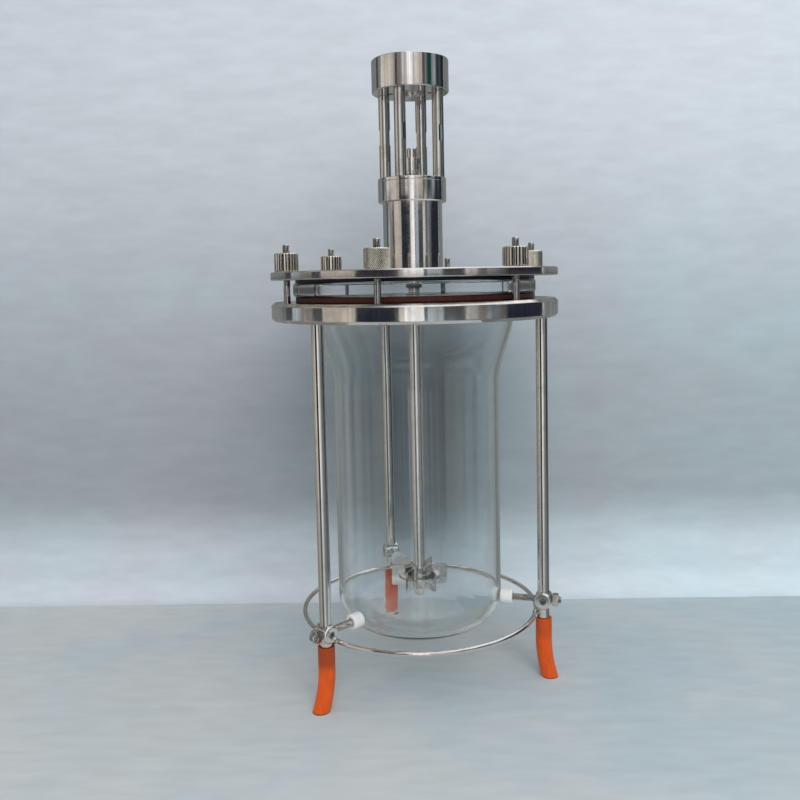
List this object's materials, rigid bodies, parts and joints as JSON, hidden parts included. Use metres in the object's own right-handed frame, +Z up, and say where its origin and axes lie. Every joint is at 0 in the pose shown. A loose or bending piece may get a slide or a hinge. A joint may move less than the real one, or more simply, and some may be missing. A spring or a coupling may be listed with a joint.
{
  "type": "bench bioreactor",
  "caption": "Stirred glass vessel clamped between a round head plate and a ring on legs, with centring screws, a bearing housing and a motor seat above.",
  "frame": {"origin": "on the floor, on the axis of the vessel and stirrer", "axes": "+Z up along the stirrer shaft, -Y to the front, +X to the right seen from the front"},
  "size_m": [0.25, 0.25, 0.5377],
  "materials": {
    "polished_steel": "mirror polished stainless steel",
    "screw_steel": "bright stainless thread and hexagon stock",
    "knurled_steel": "knurled stainless steel",
    "dark_screw": "darkened screw steel",
    "bearing_steel": "ground bearing steel",
    "clear_glass": "clear polished borosilicate glass",
    "orange_silicone": "satin orange silicone tube",
    "flange_silicone": "satin red-orange silicone sheet",
    "black_rubber": "matt black rubber",
    "white_ptfe": "machined white PTFE"
  },
  "bodies": {
    "stand": {"bearing_cover": "polished_steel", "bearing_housing": "polished_steel", "clamp_body_1": "polished_steel", "clamp_body_2": "polished_steel", "clamp_body_3": "polished_steel", "clamp_screw_1": "dark_screw", "clamp_screw_2": "dark_screw", "clamp_screw_3": "dark_screw", "flange_gasket": "flange_silicone", "foot_sleeve_1": "orange_silicone", "foot_sleeve_2": "orange_silicone", "foot_sleeve_3": "orange_silicone", "glass_neck": "clear_glass", "glass_vessel": "clear_glass", "head_gasket": "black_rubber", "head_plate": "polished_steel", "hoop": "polished_steel", "lantern_post_1": "polished_steel", "lantern_post_2": "polished_steel", "lantern_post_3": "polished_steel", "lantern_post_4": "polished_steel", "leg_1": "polished_steel", "leg_2": "polished_steel", "leg_3": "polished_steel", "lower_bearing": "bearing_steel", "motor_seat_ring": "polished_steel", "seat_screw_1": "dark_screw", "seat_screw_2": "dark_screw", "seat_screw_3": "dark_screw", "seat_screw_4": "dark_screw", "shaft_seal": "black_rubber", "stud_1": "screw_steel", "stud_2": "screw_steel", "stud_3": "screw_steel", "stud_4": "screw_steel", "stud_5": "screw_steel", "stud_6": "screw_steel", "support_ring": "polished_steel", "upper_bearing": "bearing_steel"},
    "stirrer": {"stirrer_shaft": "polished_steel", "impeller": "polished_steel", "impeller_set_screw": "dark_screw", "coupling_hub": "polished_steel", "hub_set_screw": "dark_screw", "shaft_clip": "dark_screw", "bearing_spacer": "polished_steel"},
    "centring_1": {"centring_screw_1": "screw_steel", "centring_tip_1": "white_ptfe", "centring_nut_1": "screw_steel"},
    "centring_2": {"centring_screw_2": "screw_steel", "centring_tip_2": "white_ptfe", "centring_nut_2": "screw_steel"},
    "centring_3": {"centring_screw_3": "screw_steel", "centring_tip_3": "white_ptfe", "centring_nut_3": "screw_steel"},
    "nut_1": {"knurled_nut_1": "knurled_steel"},
    "nut_2": {"knurled_nut_2": "knurled_steel"},
    "nut_3": {"knurled_nut_3": "knurled_steel"},
    "nut_4": {"knurled_nut_4": "knurled_steel"},
    "nut_5": {"knurled_nut_5": "knurled_steel"}
  },
  "joints": [
    {"name": "stirrer_spin", "type": "hinge", "parent": "stand", "child": "stirrer", "pos_m": [0, 0, 0.2], "axis": [0, 0, 1], "continuous": true},
    {"name": "centring_slide_1", "type": "slide", "parent": "stand", "child": "centring_1", "axis": [-0.6947, -0.7193, 0], "range_m": [0, 0.012]},
    {"name": "centring_slide_2", "type": "slide", "parent": "stand", "child": "centring_2", "axis": [0.9703, -0.2419, 0], "range_m": [0, 0.012]},
    {"name": "centring_slide_3", "type": "slide", "parent": "stand", "child": "centring_3", "axis": [-0.2756, 0.9613, 0], "range_m": [0, 0.012]},
    {"name": "nut_turn_1", "type": "hinge", "parent": "stand", "child": "nut_1", "pos_m": [-0.02747, -0.10858, 0.366], "axis": [0, 0, 1], "range_deg": [0, 360]},
    {"name": "nut_turn_2", "type": "hinge", "parent": "stand", "child": "nut_2", "pos_m": [0.08029, -0.07808, 0.366], "axis": [0, 0, 1], "range_deg": [0, 360]},
    {"name": "nut_turn_3", "type": "hinge", "parent": "stand", "child": "nut_3", "pos_m": [0.10777, 0.0305, 0.366], "axis": [0, 0, 1], "range_deg": [0, 360]},
    {"name": "nut_turn_4", "type": "hinge", "parent": "stand", "child": "nut_4", "pos_m": [-0.08029, 0.07808, 0.366], "axis": [0, 0, 1], "range_deg": [0, 360]},
    {"name": "nut_turn_5", "type": "hinge", "parent": "stand", "child": "nut_5", "pos_m": [-0.10777, -0.0305, 0.366], "axis": [0, 0, 1], "range_deg": [0, 360]}
  ]
}
